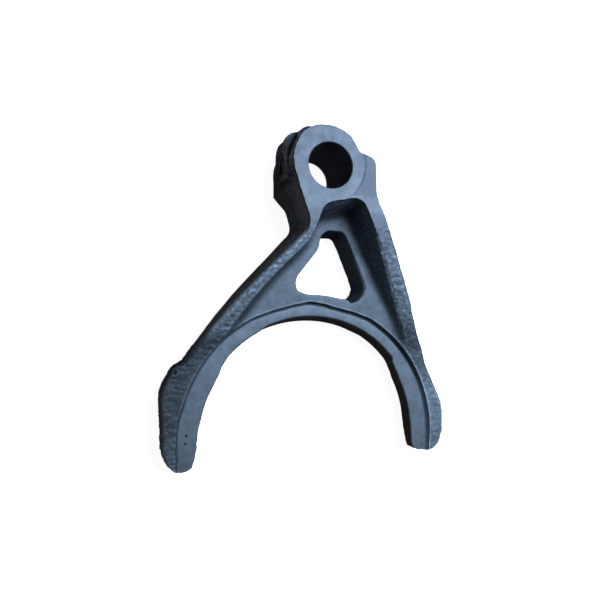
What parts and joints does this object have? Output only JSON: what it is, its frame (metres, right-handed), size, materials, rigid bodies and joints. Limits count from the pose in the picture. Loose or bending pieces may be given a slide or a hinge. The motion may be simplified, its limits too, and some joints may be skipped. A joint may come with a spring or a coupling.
{
  "type": "transmission shift fork",
  "caption": "Forged shift fork: a hub bored for the rail carries two ribbed arms and a curved jaw whose machined pads push a gear sleeve along its shaft.",
  "frame": {"origin": "on the axis of the rail bore, at the machined back end of the hub", "axes": "+Z along the rail bore from the back face to the front face, +Y from the jaw to the hub, the arms reach towards -Y, +X to the side of the lug"},
  "size_m": [0.122, 0.1361, 0.03],
  "materials": {
    "forged_steel": "forged skin, phosphated and oiled, with machined bore, hub faces, jaw and pads"
  },
  "bodies": {
    "root": {"shift_fork": "forged_steel"}
  },
  "joints": []
}
